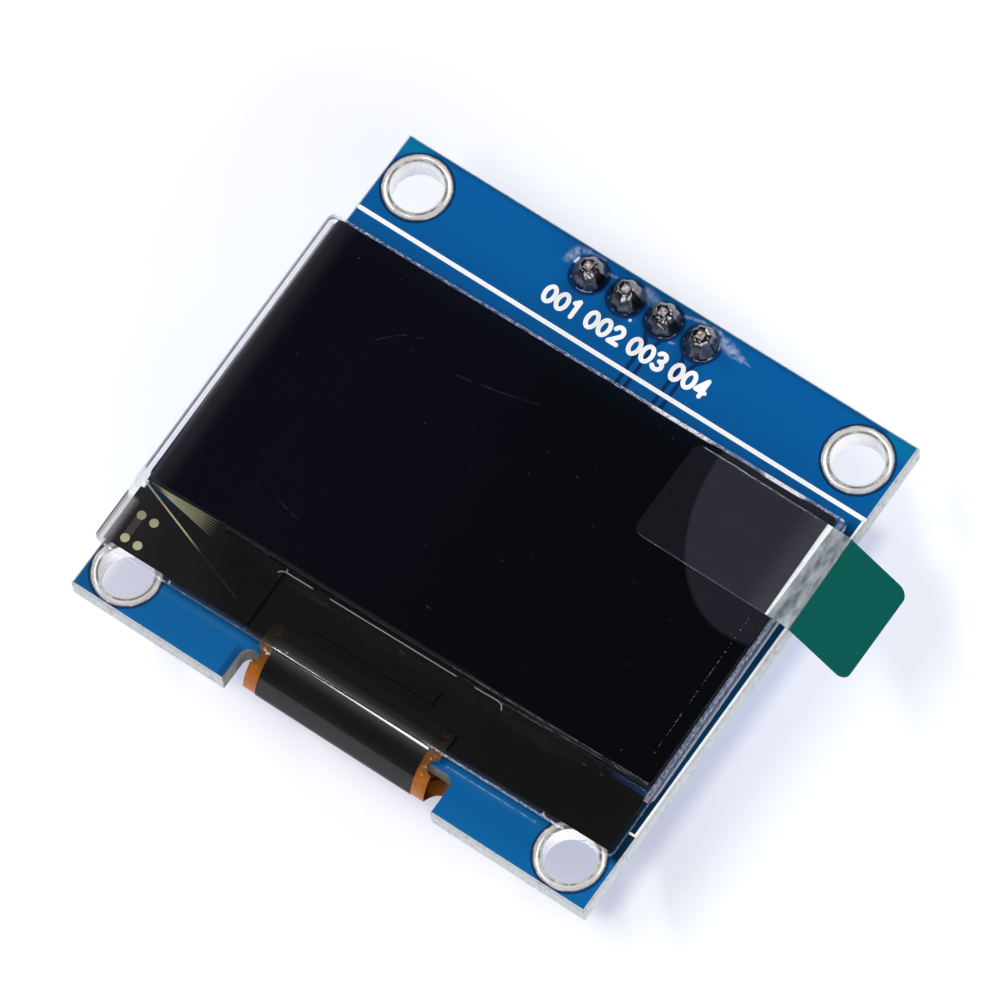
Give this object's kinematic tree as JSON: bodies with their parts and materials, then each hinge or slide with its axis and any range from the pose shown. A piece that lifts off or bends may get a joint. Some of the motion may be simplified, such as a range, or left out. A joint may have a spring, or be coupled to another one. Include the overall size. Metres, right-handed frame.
{
  "type": "small graphic display module",
  "caption": "Small dark glass display on a blue circuit board with corner holes, a folded flat ribbon, a pin header and a protective film with a pull tab.",
  "frame": {"origin": "centre of the four mounting holes, on the back face of the board", "axes": "+X along the pin row, +Y from the ribbon side towards the pin row, +Z out of the display"},
  "size_m": [0.0393, 0.0327, 0.0118],
  "materials": {
    "solder_mask": "glossy blue mask on glass-fibre board",
    "tinned_metal": "tinned copper, slightly uneven",
    "solder": "bright solder",
    "pin_metal": "plated, satin",
    "black_plastic": "matte moulded",
    "display_glass": "clear, cut edges",
    "seal_resin": "dull",
    "emitter_film": "dark, glossy",
    "polarizer_sheet": "near black, glossy",
    "mounting_tape": "black foam",
    "clear_film": "clear, dusty and scratched",
    "tab_film": "clear label with a green grip",
    "bare_chip": "polished silicon",
    "black_tape": "matte tape",
    "polyimide": "amber, satin gloss",
    "coverlay": "black, satin",
    "capacitor_ceramic": "tan ceramic with tinned ends",
    "resistor_coat": "black glaze with tinned ends",
    "silk_ink": "white printed ink, slightly raised",
    "trace_metal": "thin pale metal film on glass",
    "dust": "fine specks and fibres",
    "moulding_compound": "fine matte moulding"
  },
  "bodies": {
    "root": {"circuit_board": "solder_mask", "hole_plating_1": "tinned_metal", "hole_plating_2": "tinned_metal", "hole_plating_3": "tinned_metal", "hole_plating_4": "tinned_metal", "pin_pad_1": "tinned_metal", "pin_pad_2": "tinned_metal", "pin_pad_3": "tinned_metal", "pin_pad_4": "tinned_metal", "ribbon_pads": "tinned_metal", "part_pads": "tinned_metal", "solder_joint_1": "solder", "solder_joint_2": "solder", "solder_joint_3": "solder", "solder_joint_4": "solder", "ribbon_solder": "solder", "part_solder": "solder", "header_pin_1": "pin_metal", "header_pin_2": "pin_metal", "header_pin_3": "pin_metal", "header_pin_4": "pin_metal", "regulator_leads": "pin_metal", "header_base": "black_plastic", "front_glass": "display_glass", "cap_glass": "display_glass", "edge_seal": "seal_resin", "emitter_layer": "emitter_film", "polarizer": "polarizer_sheet", "mounting_tape": "mounting_tape", "protective_film": "clear_film", "pull_tab": "tab_film", "driver_chip": "bare_chip", "chip_tape": "black_tape", "ledge_tape_left": "black_tape", "ledge_tape_right": "black_tape", "flex_ribbon": "polyimide", "ribbon_coverlay": "coverlay", "capacitor_1": "capacitor_ceramic", "capacitor_2": "capacitor_ceramic", "capacitor_3": "capacitor_ceramic", "capacitor_4": "capacitor_ceramic", "capacitor_5": "capacitor_ceramic", "capacitor_6": "capacitor_ceramic", "capacitor_7": "capacitor_ceramic", "resistor_1": "resistor_coat", "resistor_2": "resistor_coat", "resistor_3": "resistor_coat", "resistor_4": "resistor_coat", "resistor_5": "resistor_coat", "resistor_6": "resistor_coat", "regulator": "moulding_compound"}
  },
  "joints": []
}
